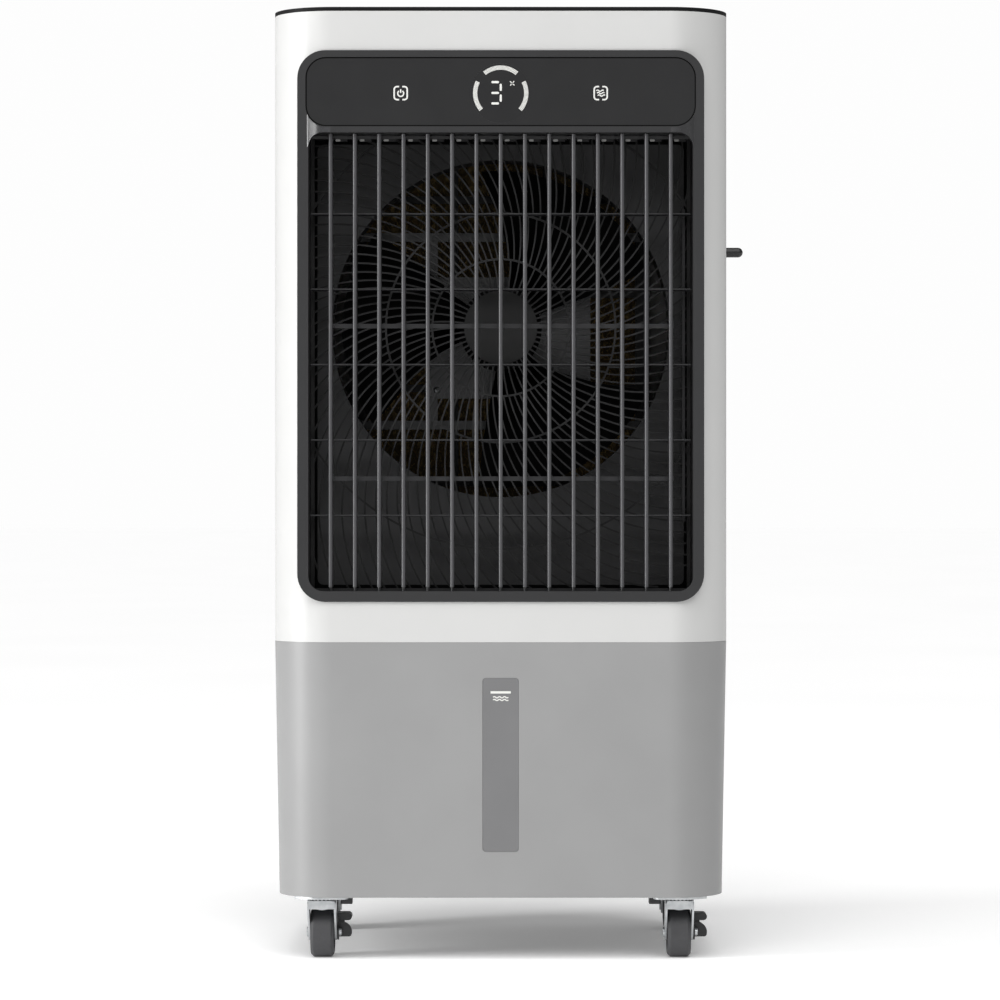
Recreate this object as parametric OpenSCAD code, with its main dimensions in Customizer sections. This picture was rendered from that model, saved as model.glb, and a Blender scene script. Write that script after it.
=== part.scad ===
// Tower evaporative cooler on casters. Millimetres, +Z up, front faces -Y.
// The origin is on the floor, below the middle of the body.

/* [Body] */
// Width of the body
body_w = 458; // [440:1:520]
// Depth of the body
body_d = 370; // [340:1:460]
// Plan radius of the body's upright corners
corner_r = 60; // [45:1:75]
// Overall height above the floor
total_h = 956; // [940:1:1100]
// Height of the joint between tank and housing
split_z = 320.4; // [300:0.1:330]
// Height of the tank's underside
tank_z = 64.3; // [64.3:0.1:80]
// Thickness of the moulded walls
wall = 3; // [2.5:0.1:4]
// Inward draft of the tank at its foot
tank_draft = 4.6; // [2:0.1:8]
// Thickness of the top cover
cover_t = 4; // [4:0.1:6]

/* [Bezel and panel] */
// Width of the front bezel
bezel_w = 407; // [404:1:420]
// Height of the bezel's lower edge
bezel_z = 360.8; // [355:0.1:362]
// Height of the bezel
bezel_h = 551.7; // [550:0.1:556]
// Corner radius of the bezel
bezel_r = 28; // [15:1:32]
// How far the bezel stands proud of the housing
bezel_proud = 2; // [1:0.1:4]
// Width of the control panel
panel_w = 390.5; // [350:0.5:394]
// Height of the control panel
panel_h = 69.3; // [60:0.1:70]
// Corner radius of the control panel
panel_r = 20.5; // [10:0.5:30]
// How far the panel lies below the bezel's face
panel_step = 0.6; // [0.2:0.1:0.8]
// Radius of the round display lens
lens_r = 30; // [20:1:32]

/* [Outlet] */
// Width of the air outlet
open_w = 385; // [376:1:390]
// Height of the air outlet
open_h = 458.9; // [440:0.1:459]
// Height of the outlet's lower edge
open_z = 371.4; // [371.4:0.1:376]
// Corner radius of the outlet
open_r = 15; // [8:1:20]
// Length of the tunnel behind the housing's front
tunnel_d = 57; // [57:1:65]
// Side wall of the tunnel
tunnel_t = 3; // [2:0.1:3.5]
// Top and bottom wall of the tunnel
rail_t = 4; // [3:0.1:4]

/* [Vanes] */
// Distance between the upright vanes
vane_pitch = 24.36; // [22:0.01:25]
// Thickness of an upright vane
vane_t = 4; // [3:0.1:5]
// Radius of the vane pins
vane_pin_r = 1.5; // [1:0.1:2]
// Distance between the level louvres
louvre_pitch = 76.1; // [70:0.1:80]
// Thickness of a level louvre
louvre_t = 2; // [2:0.1:3]
// Radius of the louvre pins
louvre_pin_r = 0.9; // [0.7:0.05:0.9]

/* [Guard and fan] */
// Radius of the guard's hub cap
guard_hub_r = 37.2; // [30:0.1:42]
// Radii of the guard's rings
ring_radii = [69.5, 116.5, 225];
// Width of a guard rib
rib_t = 1.6; // [1.2:0.1:2]
// Radius of the round opening in the shroud
aperture_r = 172; // [160:1:175]
// Radius of the fan
fan_r = 163; // [120:1:165]
// Radius of the fan's hub
fan_hub_r = 42; // [36:1:50]
// Height of the fan's axis
fan_z = 637.7; // [630:0.1:645]

/* [Casters] */
// Radius of a caster wheel
wheel_r = 25; // [22:0.5:25]
// Width of a caster wheel
wheel_w = 23.8; // [20:0.1:24]
// Trail from swivel axis to axle
trail = 18; // [15:0.5:20]
// Half the track of the front casters
front_track = 180.3; // [175:0.1:185]
// Half the track of the rear casters
rear_track = 187.5; // [180:0.1:193]
// Distance of both swivel rows from the body's middle
swivel_y = [-149, 113];

/* [Side hook] */
// Radius of the side hook
hook_r = 5.2; // [4:0.1:7]
// How far the side hook stands out
hook_l = 30; // [15:1:40]

/* [Hidden] */
$fn = 96;
eps = 0.5;
run = 0.05;                                   // radial clearance of running fits
gap = 0.4;                                    // clearance between separate pieces
front_y = -body_d / 2;
cover_z = total_h - cover_t;
bezel_mid_z = bezel_z + bezel_h / 2;
open_mid_z = open_z + open_h / 2;
open_top_z = open_z + open_h;
panel_z = open_top_z + rail_t + 2.1;          // lower edge of the control panel
panel_mid_z = panel_z + panel_h / 2;
lens_z = panel_mid_z - 1.5;
tunnel_y = front_y + tunnel_d;                // rear edge of the tunnel
frame_w = open_w + 2 * tunnel_t;
frame_h = open_h + 2 * rail_t;
// Upright vanes: pivot, stadium profile and the two link bars behind them.
vane_y = front_y + 14;
vane_front = 10;
vane_back = 14;
link_arm = vane_back - vane_t / 2;            // from the pivot to the link pin
link_pin_r = 1;
link_h = 4.5;
link_zs = [484.2, 637.9];
link_slot = 1.65;                             // half width of a slot in the link bar
finger_t = 1.2;
vane_n = 15;
vane_x0 = -vane_pitch * (vane_n - 1) / 2;
vane_z0 = open_z + 4;                         // the lower pin shows below the blade
vane_z1 = open_top_z - 1;
// Sill below and lugs above, close behind the vanes.
comb_y = vane_y + vane_back + 1.5;
comb_t = 5;
sill_h = 2.3;
lug_h = 6.3;
lug_w = 12;
// Level louvres and their link bar on the right.
louvre_y = front_y + 45;
louvre_half = 10;
louvre_n = 5;
louvre_z0 = open_mid_z - 1.6 - louvre_pitch * (louvre_n - 1) / 2;
louvre_x = open_w / 2 - 1;
louvre_arm = 8;
louvre_link_x = open_w / 2 - 7;
louvre_link_w = 3;
// Guard, shroud and fan, all on the fan's axis.
guard_t = 6;
side_bar_w = 3.6;                             // inner width of the guard's side bars
guard_y = tunnel_y;                           // front of the guard's frame
shroud_y = guard_y + guard_t;                 // front of the shroud's rim
plate_y = shroud_y + 20;                      // front of the shroud's plate
plate_t = 3;
duct_d = 45;
rib_bend = 182;                               // bend radius of the guard's ribs
rib_z0 = 0.5;                                 // the guard's parts lie one inside the other in depth
rib_z1 = 5;
ring_z0 = 1;
ring_z1 = 4.4;
ring_t = 2;
rib_end = ring_t / 4;                         // ribs end inside a ring, short of its middle
fan_front_y = plate_y + 3;
fan_depth = 40;
blade_n = 3;
blade_span = 74;                              // degrees covered by a blade
bracket_y = plate_y + 62;
bracket_dz = 97.3;
bracket_h = 9.4;
bracket_half = 184;
motor_r = 46;
motor_l = 60;
shaft_r = 5;
// Rear: pad, frame and grille.
pad_w = 310;
pad_z0 = 374;
pad_h = 524;
pad_t = 48;
grille_w = 330;
grille_h = 552;
grille_proud = 2;
rear_y = body_d / 2;
pad_y = rear_y - wall - pad_t - 4;
pad_frame_t = 5;
grille_mid_z = pad_z0 + pad_h / 2;
// Water system.
tray_w = 300;
tray_z = cover_z - 44;
tray_t = 2.5;
hose_r = 6;
hose_bore_r = 4.5;
hose_x = -body_w / 2 + 44;
hose_y = 62;
hose_bend = 22;
pump_r = 26;
pump_h = 60;
hose_out_z = tray_z + 16;
// Lips that centre the housing on the tank and the cover on the housing.
lip_h = 6;
lip_t = 2;
// Drain at the rear of the tank.
drain_r = 9;
drain_x = 110;
drain_z = tank_z + 22;
// Control box behind the panel, side hook and cord gland.
box_w = 300;
hook_y = body_d / 2 - 95;
hook_z = 727.4;
gland_x = -120;
gland_z = split_z + 24;
gland_r = 7;
// Lid in the top cover.
lid_w = 250;
lid_d = 170;
lid_t = 3;
lid_axis_y = 92;
lid_axis_z = total_h - lid_t / 2;
lid_pin_r = 0.9;
// Casters.
mount_w = 54;
plate_h = 2.5;
race_z = 59.8;
crown_z = 56.4;
crown_t = 3;
cup_z = 52.2;                                 // underside of the ball race's cup
lug_z = 56.2;
pin_r = 4;
fork_in = wheel_w / 2 + 0.5;
leg_t = 2;
axle_r = 3;
lever_x = fork_in + leg_t + gap;
lever_t = 1.6;
axle_end = lever_x + lever_t + 2.2;           // from the wheel's middle to the axle's end
pedal_x = 29.2;
caster_names = ["fl", "fr", "rl", "rr"];
caster_pos = [[-front_track, swivel_y[0]], [front_track, swivel_y[0]],
              [-rear_track, swivel_y[1]], [rear_track, swivel_y[1]]];
// Level window.
window_w = 36.2;
window_h = 174.4;
window_z = 197.4;
window_r = 3.7;
window_t = 2;
draft_angle = atan(tank_draft / (split_z - tank_z));

shell_white = "#e6e6e4";
tank_grey = "#b4b4b4";
dark = "#3f3f41";
black = "#262628";

// ---------- Shared shapes ----------

// Rectangle with round corners, centred.
module round_rect(w, h, r) {
    square([w - 2 * r, h], center = true);
    square([w, h - 2 * r], center = true);
    for (x = [-1, 1], y = [-1, 1])
        translate([x * (w / 2 - r), y * (h / 2 - r)])
            circle(r);
}

// Prism over the body's plan, moved outward by grow.
module body_prism(grow, z0, z1) {
    translate([0, 0, z0])
        linear_extrude(z1 - z0)
            round_rect(body_w + 2 * grow, body_d + 2 * grow, corner_r + grow);
}

// Extrudes an outline drawn in X and Z along Y.
module along_y(y0, y1) {
    translate([0, y1, 0])
        rotate([90, 0, 0])
            linear_extrude(y1 - y0)
                children();
}

// Extrudes an outline drawn in Y and Z along X.
module along_x(x0, x1) {
    translate([x0, 0, 0])
        rotate([90, 0, 90])
            linear_extrude(x1 - x0)
                children();
}

// Round rectangle facing the front, from y0 back to y1.
module front_block(w, h, r, z_mid, y0, y1) {
    translate([0, 0, z_mid])
        along_y(y0, y1)
            round_rect(w, h, r);
}

// Flat plate that stands proud of the front and reaches back to the housing at its round corners.
module front_plate(w, h, r, z_mid, proud) {
    difference() {
        front_block(w, h, r, z_mid, front_y - proud, front_y + corner_r);
        body_prism(0, z_mid - h - 1, z_mid + h + 1);
    }
}

// Cylinder along X from x0 to x1.
module rod_x(x0, x1, r) {
    translate([x0, 0, 0])
        rotate([0, 90, 0])
            cylinder(r = r, h = x1 - x0);
}

// Cylinder along Y from y0 to y1.
module rod_y(y0, y1, r) {
    translate([0, y1, 0])
        rotate([90, 0, 0])
            cylinder(r = r, h = y1 - y0);
}

// Box given by two corners.
module box(a, b) {
    translate(a)
        cube(b - a);
}

// ---------- Tank ----------

// Drafted block with round corners: inset is the wall taken off all round.
module drafted_block(inset, z0, z1) {
    slope = tank_draft / (split_z - tank_z);
    cx = body_w / 2 - corner_r;
    cy = body_d / 2 - corner_r;
    r0 = corner_r - inset - slope * (split_z - z0);
    r1 = corner_r - inset - slope * (split_z - z1);
    union() {
        for (x = [-cx, cx], y = [-cy, cy])
            translate([x, y, z0])
                cylinder(r1 = r0, r2 = r1, h = z1 - z0);
        along_y(-cy, cy)
            polygon([[-cx - r0, z0], [cx + r0, z0], [cx + r1, z1], [-cx - r1, z1]]);
        rotate(90)
            along_y(-cx, cx)
                polygon([[-cy - r0, z0], [cy + r0, z0], [cy + r1, z1], [-cy - r1, z1]]);
    }
}

// Places the children on the tank's front, +Z out of the face, at height z.
module on_tank_front(z) {
    translate([0, front_y + tank_draft * (split_z - z) / (split_z - tank_z), z])
        rotate([90 + draft_angle, 0, 0])
            children();
}

module tank() {
    color(tank_grey)
        difference() {
            union() {
                drafted_block(0, tank_z, split_z);
                // Lip that centres the housing.
                body_prism(-wall - gap, split_z - lip_h, split_z + lip_h);
            }
            drafted_block(wall, tank_z + wall, split_z - lip_h);
            body_prism(-wall - gap - lip_t, split_z - lip_h - 1, split_z + lip_h + 1);
            // Pocket and sight slot of the level window.
            on_tank_front(window_z) {
                translate([0, 0, -window_t])
                    linear_extrude(window_t + 5)
                        round_rect(window_w, window_h, window_r);
                translate([0, 0, -wall - 3])
                    linear_extrude(wall + 5)
                        round_rect(window_w - 8, window_h - 8, window_r);
            }
            // Drain.
            translate([drain_x, 0, drain_z])
                rod_y(rear_y - 12, rear_y + 5, drain_r);
        }
}

module level_window() {
    color("#8c8c8c")
        on_tank_front(window_z)
            translate([0, 0, -window_t])
                linear_extrude(window_t - 0.2)
                    round_rect(window_w, window_h, window_r);
}

module drain_plug() {
    plug_y = rear_y - tank_draft - wall;
    color(black)
        translate([drain_x, 0, drain_z]) {
            rod_y(plug_y, rear_y - 2, drain_r);
            rod_y(rear_y - tank_draft + 0.6, rear_y + 1.6, drain_r + 5);
        }
}

// ---------- Housing and top ----------

module housing() {
    color(shell_white)
        difference() {
            body_prism(0, split_z, cover_z);
            body_prism(-wall, split_z - 1, cover_z + 1);
            // Window for the tunnel.
            front_block(frame_w, frame_h, 3, open_mid_z, front_y - 1, front_y + corner_r);
            // Window for the control box.
            box([-box_w / 2 - gap, front_y - 1, panel_z + 8], [box_w / 2 + gap, front_y + wall + 1, panel_z + panel_h - 8]);
            // Rear window behind the pad.
            box([-pad_w / 2, rear_y - wall - 1, pad_z0], [pad_w / 2, rear_y + 1, pad_z0 + pad_h]);
            // Seats of the side hook and the cord gland.
            translate([0, hook_y, hook_z])
                rod_x(body_w / 2 - wall - 1, body_w / 2 + 1, hook_r + 1);
            translate([gland_x, 0, gland_z])
                rod_y(rear_y - wall - 1, rear_y + 1, gland_r);
        }
}

module side_hook() {
    color(black)
        translate([0, hook_y, hook_z]) {
            rod_x(body_w / 2 - eps, body_w / 2 + hook_l - hook_r, hook_r);
            rod_x(body_w / 2 - wall, body_w / 2, hook_r + 1);
            translate([body_w / 2 + hook_l - hook_r, 0, 0])
                sphere(hook_r);
            rod_x(body_w / 2 - wall - 3, body_w / 2 - wall, hook_r + 4);
        }
}

module cord_gland() {
    color(black)
        translate([gland_x, 0, gland_z])
            difference() {
                union() {
                    rod_y(rear_y - wall - 4, rear_y, gland_r);
                    rod_y(rear_y, rear_y + 2, gland_r + 4);
                    rod_y(rear_y - wall - 4, rear_y - wall, gland_r + 3);
                }
                rod_y(rear_y - wall - 5, rear_y + 3, 4);
            }
}

module top_cover() {
    color(dark)
        difference() {
            union() {
                body_prism(0, cover_z, total_h);
                body_prism(-wall - gap, cover_z - lip_h, cover_z + 1);
            }
            body_prism(-wall - gap - lip_t, cover_z - lip_h - 1, cover_z - lip_t);
            // Opening with a ledge under the lid.
            box([-lid_w / 2 - gap, lid_axis_y - lid_d - gap, total_h - lid_t - gap],
                [lid_w / 2 + gap, lid_axis_y + lid_t / 2 + gap, total_h + 1]);
            box([-lid_w / 2 + 6, lid_axis_y - lid_d + 6, cover_z - 7],
                [lid_w / 2 - 6, lid_axis_y + lid_t / 2 + gap, total_h + 1]);
            // Pin bores and the finger notch.
            translate([0, lid_axis_y, lid_axis_z])
                rod_x(-lid_w / 2 - 5, lid_w / 2 + 5, lid_pin_r + run);
            translate([0, lid_axis_y - lid_d - gap, total_h - lid_t - gap])
                cylinder(r = 14, h = lid_t + 1);
        }
}

module top_lid() {
    color(black)
        union() {
            box([-lid_w / 2, lid_axis_y - lid_d, total_h - lid_t], [lid_w / 2, lid_axis_y, total_h]);
            translate([0, lid_axis_y, lid_axis_z]) {
                rod_x(-lid_w / 2, lid_w / 2, lid_t / 2);
                rod_x(-lid_w / 2 - 4, lid_w / 2 + 4, lid_pin_r);
            }
        }
}

// ---------- Front ----------

module vane_places() {
    for (i = [0:vane_n - 1])
        translate([vane_x0 + vane_pitch * i, vane_y, 0])
            children();
}

module front_bezel() {
    color(dark)
        difference() {
            union() {
                front_plate(bezel_w, bezel_h, bezel_r, bezel_mid_z, bezel_proud);
                // Tunnel through the housing's front.
                front_block(frame_w, frame_h, 3, open_mid_z, front_y - bezel_proud + eps, tunnel_y);
            }
            // Inside of the tunnel, with a sill and a row of lugs left behind the vanes.
            difference() {
                front_block(open_w, open_h, 3, open_mid_z, front_y + 4, tunnel_y + 1);
                box([-open_w / 2 - 1, comb_y, open_z - 1], [open_w / 2 + 1, comb_y + comb_t, open_z + sill_h]);
                for (i = [0:vane_n - 1])
                    translate([vane_x0 + vane_pitch * i + 4, comb_y, open_top_z - lug_h])
                        cube([lug_w, comb_t, lug_h + 1]);
            }
            front_block(open_w, open_h, open_r, open_mid_z, front_y - 11, front_y + 5);
            front_block(panel_w, panel_h, panel_r, panel_mid_z, front_y - 11, front_y + corner_r);
            vane_places()
                translate([0, 0, open_z - rail_t - 1])
                    cylinder(r = vane_pin_r + run, h = open_h + 2 * rail_t + 2);
            for (i = [0:louvre_n - 1])
                translate([0, louvre_y, louvre_z0 + louvre_pitch * i])
                    rod_x(-frame_w / 2 - 1, frame_w / 2 + 1, louvre_pin_r + run);
        }
}

module control_panel() {
    color(dark)
        difference() {
            union() {
                front_plate(panel_w - gap, panel_h - gap, panel_r - gap / 2, panel_mid_z, bezel_proud - panel_step);
                box([-box_w / 2, front_y - 0.2, panel_z + 8 + gap],
                    [box_w / 2, front_y + 34, panel_z + panel_h - 8 - gap]);
            }
            translate([0, 0, lens_z])
                rod_y(front_y - 5, front_y, lens_r);
        }
}

module display_lens() {
    color(black)
        translate([0, 0, lens_z])
            rod_y(front_y - bezel_proud + panel_step, front_y, lens_r);
}

// ---------- Vanes and louvres ----------

// Stadium outline from -front to +back along Y.
module stadium(t, front, back) {
    translate([-t / 2, -front + t / 2])
        square([t, front + back - t]);
    translate([0, -front + t / 2])
        circle(t / 2, $fn = 32);
    translate([0, back - t / 2])
        circle(t / 2, $fn = 32);
}

module vane(i) {
    color("#5e5e60")
        translate([vane_x0 + vane_pitch * (i - 1), vane_y, 0])
            union() {
                difference() {
                    translate([0, 0, vane_z0])
                        linear_extrude(vane_z1 - vane_z0)
                            stadium(vane_t, vane_front, vane_back);
                    for (z = link_zs)
                        box([-vane_t, vane_back - 10, z - link_h / 2 - 1.25], [vane_t, vane_back + 1, z + link_h / 2 + 1.25]);
                }
                for (z = link_zs)
                    translate([0, link_arm, z - link_h / 2 - 2])
                        cylinder(r = link_pin_r, h = link_h + 4);
                translate([0, 0, open_z - rail_t])
                    cylinder(r = vane_pin_r, h = open_h + 2 * rail_t);
            }
}

module vane_link(z) {
    bar_y = vane_y + link_arm + link_pin_r + 1.6;
    color(dark)
        translate([0, 0, z - link_h / 2])
            union() {
                box([vane_x0 - 4, bar_y, 0], [-vane_x0 + 4, bar_y + 2.4, link_h]);
                vane_places()
                    for (s = [-1, 1])
                        translate([s * (link_slot + finger_t / 2) - finger_t / 2, link_arm - 1.6, 0])
                            cube([finger_t, bar_y - vane_y - link_arm + 2, link_h]);
            }
}

module louvre(i) {
    notch = louvre_link_w / 2 + 1;
    color(dark)
        translate([0, louvre_y, louvre_z0 + louvre_pitch * (i - 1)])
            union() {
                difference() {
                    along_x(-louvre_x, louvre_x)
                        rotate(90)
                            stadium(louvre_t, louvre_half, louvre_half);
                    box([louvre_link_x - notch, 3, -louvre_t], [louvre_link_x + notch, louvre_half + 1, louvre_t]);
                }
                translate([0, louvre_arm, 0])
                    rod_x(louvre_link_x - notch - 1, louvre_link_x + notch + 1, 0.8);
                rod_x(-frame_w / 2, frame_w / 2, louvre_pin_r);
            }
}

module louvre_link() {
    slot = 1.2;
    bar_y = louvre_y + louvre_arm + 1.3;
    x0 = louvre_link_x - louvre_link_w / 2;
    top_z = louvre_z0 + louvre_pitch * (louvre_n - 1);
    color("#545456")
        union() {
            box([x0, bar_y, louvre_z0 - 6], [x0 + louvre_link_w, bar_y + 1.8, top_z + 6]);
            for (i = [0:louvre_n - 1], s = [-1, 1])
                translate([x0, louvre_y + louvre_arm - 2, louvre_z0 + louvre_pitch * i + s * (slot + 0.6) - 0.6])
                    cube([louvre_link_w, bar_y - louvre_y - louvre_arm + 2.5, 1.2]);
        }
}

// ---------- Guard, shroud and fan ----------

// Angle along a rib's arc at which it reaches radius r.
function rib_reach(r) =
    let (c2 = guard_hub_r * guard_hub_r + rib_bend * rib_bend)
    acos((c2 + rib_bend * rib_bend - r * r) / (2 * sqrt(c2) * rib_bend)) - atan(guard_hub_r / rib_bend);

// Ribs that leave the hub square to it and bend round, from one radius to another.
module ribs(count, r_in, r_out) {
    a_in = rib_reach(r_in);
    for (k = [0:count - 1])
        rotate(360 * k / count)
            translate([guard_hub_r, rib_bend, rib_z0])
                rotate(a_in - 90)
                    rotate_extrude(angle = rib_reach(r_out) - a_in)
                        translate([rib_bend - rib_t / 2, 0])
                            square([rib_t, rib_z1 - rib_z0]);
}

// Ring that ties the ribs together, a little lower than they are on both sides.
module guard_ring(r) {
    translate([0, 0, ring_z0])
        difference() {
            cylinder(r = r + ring_t / 2, h = ring_z1 - ring_z0);
            translate([0, 0, -1])
                cylinder(r = r - ring_t / 2, h = guard_t + 2);
        }
}

// Rectangle of the outlet as seen from the fan's axis.
module outlet_box(grow, z0, z1) {
    x = open_w / 2 + grow;
    box([-x, open_z - grow - fan_z, z0], [x, open_top_z + grow - fan_z, z1]);
}

module fan_guard() {
    color(dark)
        translate([0, guard_y + guard_t, fan_z])
            rotate([90, 0, 0])
                union() {
                    translate([0, 0, 0.2])
                        cylinder(r = guard_hub_r, h = guard_t - 0.6);
                    ribs(50, guard_hub_r - 1, ring_radii[0] - rib_end);
                    ribs(80, ring_radii[0] + rib_end, ring_radii[1] - rib_end);
                    guard_ring(ring_radii[0]);
                    guard_ring(ring_radii[1]);
                    intersection() {
                        union() {
                            ribs(100, ring_radii[1] + rib_end, 308);
                            guard_ring(ring_radii[2]);
                        }
                        outlet_box(1, -1, guard_t + 1);
                    }
                    difference() {
                        outlet_box(tunnel_t, 0, guard_t);
                        outlet_box(0, -1, guard_t + 1);
                    }
                    for (s = [-1, 1])
                        translate([s * (open_w - side_bar_w + 1) / 2, open_mid_z - fan_z, 0.3])
                            linear_extrude(guard_t - 0.6)
                                square([side_bar_w + 1, open_h + 1], center = true);
                }
}

module shroud() {
    color(black)
        union() {
            difference() {
                front_block(frame_w, frame_h, 3, open_mid_z, shroud_y, plate_y + plate_t);
                front_block(open_w, open_h, 3, open_mid_z, shroud_y - 1, plate_y);
                translate([0, 0, fan_z])
                    rod_y(plate_y - 1, plate_y + plate_t + 1, aperture_r);
            }
            // Duct round the fan.
            translate([0, 0, fan_z])
                difference() {
                    rod_y(plate_y, plate_y + duct_d, aperture_r + 2.5);
                    rod_y(plate_y - 1, plate_y + duct_d + 1, aperture_r);
                }
        }
}

// One blade: a thin sheet that twists and sweeps from the hub to the tip.
blade_rings = 10;
blade_steps = 9;
blade_t = 2.4;
function blade_point(u, v, side) =
    let (r = fan_hub_r - 3 + u * (fan_r - fan_hub_r + 3),
         span = blade_span * (0.72 + 0.28 * sin(90 * u)),
         a = -span * (v - 0.5) + 10 * u,
         pitch = fan_depth * (0.92 - 0.5 * u),
         y = (v - 0.5) * pitch + 3 * sin(180 * v))
    [r * cos(a), y + side * blade_t / 2, r * sin(a)];

module blade() {
    m = blade_steps + 1;
    n = (blade_rings + 1) * m;
    points = [for (s = [-1, 1], i = [0:blade_rings], j = [0:blade_steps])
        blade_point(i / blade_rings, j / blade_steps, s)];
    front = [for (i = [0:blade_rings - 1], j = [0:blade_steps - 1], t = [0, 1])
        let (p = i * m + j)
        t == 0 ? [p, p + m, p + m + 1] : [p, p + m + 1, p + 1]];
    back = [for (f = front) [f[2] + n, f[1] + n, f[0] + n]];
    rim = concat([for (j = [0:blade_steps]) j],
                 [for (i = [1:blade_rings]) i * m + blade_steps],
                 [for (j = [blade_steps - 1:-1:0]) blade_rings * m + j],
                 [for (i = [blade_rings - 1:-1:1]) i * m]);
    k = len(rim);
    edge = [for (q = [0:k - 1], t = [0, 1])
        let (a = rim[q], b = rim[(q + 1) % k])
        t == 0 ? [a, b, b + n] : [a, b + n, a + n]];
    polyhedron(points, concat(front, back, edge));
}

module fan() {
    color(black)
        translate([0, fan_front_y + fan_depth / 2 + 2, fan_z])
            difference() {
                union() {
                    rod_y(-fan_depth / 2 - 2, fan_depth / 2 + 2, fan_hub_r);
                    for (k = [0:blade_n - 1])
                        rotate([0, -50 - 360 / blade_n * k, 0])
                            blade();
                }
                rod_y(-fan_depth / 2 + 4, fan_depth / 2 + 3, shaft_r + run);
            }
}

module fan_motor() {
    color("#8a8c8e")
        translate([0, 0, fan_z]) {
            rod_y(bracket_y + 3, bracket_y + 3 + motor_l, motor_r);
            rod_y(fan_front_y + 8, bracket_y + 4, shaft_r);
            rod_y(bracket_y + 3 + motor_l, bracket_y + 9 + motor_l, 16);
        }
}

module motor_bracket() {
    color("#9c9e9f")
        union() {
            for (s = [-1, 1])
                translate([0, 0, fan_z + s * bracket_dz]) {
                    box([-bracket_half, bracket_y, -bracket_h / 2], [bracket_half, bracket_y + 3, bracket_h / 2]);
                    for (x = [-1, 1])
                        translate([x * (bracket_half - 4), 0, 0])
                            box([-4, plate_y + plate_t, -bracket_h / 2], [4, bracket_y + 1, bracket_h / 2]);
                }
            for (x = [-70, 70])
                box([x - 5, bracket_y, fan_z - bracket_dz], [x + 5, bracket_y + 3, fan_z + bracket_dz]);
            translate([0, 0, fan_z])
                difference() {
                    union() {
                        rod_y(bracket_y, bracket_y + 3, motor_r + 6);
                        box([-72, bracket_y, -12], [72, bracket_y + 3, 12]);
                    }
                    rod_y(bracket_y - 1, bracket_y + 4, 20);
                }
        }
}

// ---------- Rear and water ----------

module rear_grille() {
    slot_n = 22;
    slot_pitch = (pad_h - 16) / slot_n;
    bay_w = (pad_w - 16 - 12) / 3;
    color(shell_white)
        difference() {
            union() {
                front_block(grille_w, grille_h, 8, grille_mid_z, rear_y, rear_y + grille_proud);
                box([-pad_w / 2 + gap, rear_y - wall, pad_z0 + gap],
                    [pad_w / 2 - gap, rear_y + eps, pad_z0 + pad_h - gap]);
            }
            for (k = [0:slot_n - 1], b = [-1, 0, 1])
                translate([b * (bay_w + 6) - bay_w / 2, rear_y - wall - 1, pad_z0 + 8 + slot_pitch * (k + 0.5) - 7])
                    cube([bay_w, wall + grille_proud + 2, 14]);
        }
}

module cooling_pad() {
    color("#8d7a52")
        box([-pad_w / 2 + 1, pad_y, pad_z0 + 4], [pad_w / 2 - 1, pad_y + pad_t, pad_z0 + pad_h - 1]);
}

module pad_frame() {
    w = pad_w / 2 + 2;
    y0 = pad_y - pad_frame_t;
    color(dark)
        difference() {
            box([-w, y0, pad_z0 + 1], [w, rear_y - wall - gap, pad_z0 + pad_h + 2]);
            box([-w + 3, pad_y, pad_z0 + 4], [w - 3, rear_y, pad_z0 + pad_h - 1]);
            for (x = [-1, 0, 1], k = [0:4])
                translate([x * (pad_w - 12) / 3, y0 - 1, pad_z0 + 10 + k * (pad_h - 16) / 5])
                    translate([-(pad_w - 12) / 6 + 4, 0, 0])
                        cube([(pad_w - 12) / 3 - 8, pad_frame_t + 2, (pad_h - 16) / 5 - 8]);
            box([-w + 10, pad_y + 6, pad_z0 + pad_h - 2], [w - 10, pad_y + pad_t - 6, pad_z0 + pad_h + 3]);
        }
}

module water_tray() {
    x = tray_w / 2;
    y0 = lid_axis_y - lid_d - 4;
    y1 = rear_y - wall - gap - 4;
    color("#c9cccd")
        difference() {
            box([-x, y0, tray_z], [x, y1, cover_z - 2]);
            box([-x + tray_t, y0 + tray_t, tray_z + tray_t], [x - tray_t, y1 - tray_t, cover_z]);
            for (k = [0:9])
                translate([(k - 4.5) * 28, pad_y + pad_t / 2, tray_z - 1])
                    cylinder(r = 2.5, h = tray_t + 2);
            translate([0, hose_y, hose_out_z])
                rod_x(-x - 1, -x + tray_t + 1, hose_r);
        }
}

module water_pump() {
    color(black)
        translate([hose_x, hose_y, tank_z + wall]) {
            cylinder(r = pump_r, h = pump_h);
            translate([0, 0, pump_h])
                cylinder(r = hose_bore_r, h = 16);
        }
}

module water_hose() {
    z0 = tank_z + wall + pump_h;
    z1 = hose_out_z - hose_bend;
    end_x = -tray_w / 2 + tray_t + 6;
    color("#d5d8d8")
        translate([hose_x, hose_y, 0])
            difference() {
                union() {
                    translate([0, 0, z0])
                        cylinder(r = hose_r, h = z1 - z0);
                    translate([hose_bend, 0, z1])
                        rotate([90, 0, 0])
                            rotate_extrude(angle = 90, start = 90)
                                translate([hose_bend, 0])
                                    circle(hose_r);
                    translate([0, 0, hose_out_z])
                        rod_x(hose_bend, end_x - hose_x, hose_r);
                }
                translate([0, 0, z0 - 1])
                    cylinder(r = hose_bore_r, h = z1 - z0 - 20);
            }
}

module swing_motor() {
    color("#9c9e9f")
        translate([100, vane_y + 12, open_z - rail_t - 18])
            union() {
                cylinder(r = 20, h = 18);
                translate([0, 0, -10])
                    cylinder(r = 4, h = 12);
            }
}

// ---------- Casters ----------

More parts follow.
